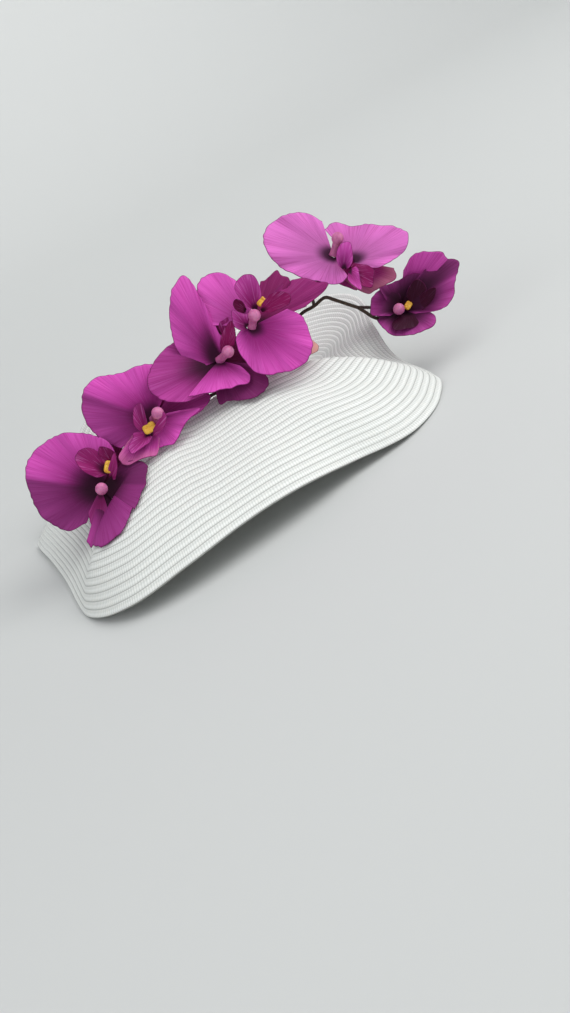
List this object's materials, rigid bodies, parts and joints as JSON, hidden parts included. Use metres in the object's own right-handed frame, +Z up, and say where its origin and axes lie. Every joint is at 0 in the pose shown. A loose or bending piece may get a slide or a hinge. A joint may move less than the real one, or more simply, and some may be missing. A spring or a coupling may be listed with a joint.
{
  "type": "fascinator hat",
  "caption": "Wavy oval fascinator of sewn white straw braid with a spray of magenta silk orchids on a dark wire stem and a hair comb beneath.",
  "frame": {"origin": "middle of the bottom of the object's box, on the surface that the braid's rim rests on", "axes": "+X along the oval from its left end to its right end, +Y to the back, where the brim turns up, +Z up"},
  "size_m": [0.4059, 0.2623, 0.1551],
  "materials": {
    "straw_braid": "white woven synthetic straw braid, slightly glossy",
    "petal_silk": "magenta coated silk, matt with a faint sheen",
    "sepal_silk": "wine coated silk, matt",
    "lip_silk": "deep wine moulded silk, satin",
    "column_plastic": "pale pink moulded plastic",
    "callus_plastic": "golden yellow moulded plastic",
    "stem_wire": "dark brown taped wire",
    "comb_plastic": "clear white plastic, glossy"
  },
  "bodies": {
    "root": {"braid_base": "straw_braid", "comb": "comb_plastic", "stem": "stem_wire", "bloom_1_left_petal": "petal_silk", "bloom_1_right_petal": "petal_silk", "bloom_1_sepals": "sepal_silk", "bloom_1_lip": "lip_silk", "bloom_1_column": "column_plastic", "bloom_1_callus": "callus_plastic", "bloom_2_left_petal": "petal_silk", "bloom_2_right_petal": "petal_silk", "bloom_2_sepals": "sepal_silk", "bloom_2_lip": "lip_silk", "bloom_2_column": "column_plastic", "bloom_2_callus": "callus_plastic", "bloom_3_left_petal": "petal_silk", "bloom_3_right_petal": "petal_silk", "bloom_3_sepals": "sepal_silk", "bloom_3_lip": "lip_silk", "bloom_3_column": "column_plastic", "bloom_3_callus": "callus_plastic", "bloom_4_left_petal": "petal_silk", "bloom_4_right_petal": "petal_silk", "bloom_4_sepals": "sepal_silk", "bloom_4_lip": "lip_silk", "bloom_4_column": "column_plastic", "bloom_4_callus": "callus_plastic", "bloom_5_left_petal": "petal_silk", "bloom_5_right_petal": "petal_silk", "bloom_5_sepals": "sepal_silk", "bloom_5_lip": "lip_silk", "bloom_5_column": "column_plastic", "bloom_5_callus": "callus_plastic", "bloom_6_left_petal": "petal_silk", "bloom_6_right_petal": "petal_silk", "bloom_6_sepals": "sepal_silk", "bloom_6_lip": "lip_silk", "bloom_6_column": "column_plastic", "bloom_6_callus": "callus_plastic"}
  },
  "joints": []
}
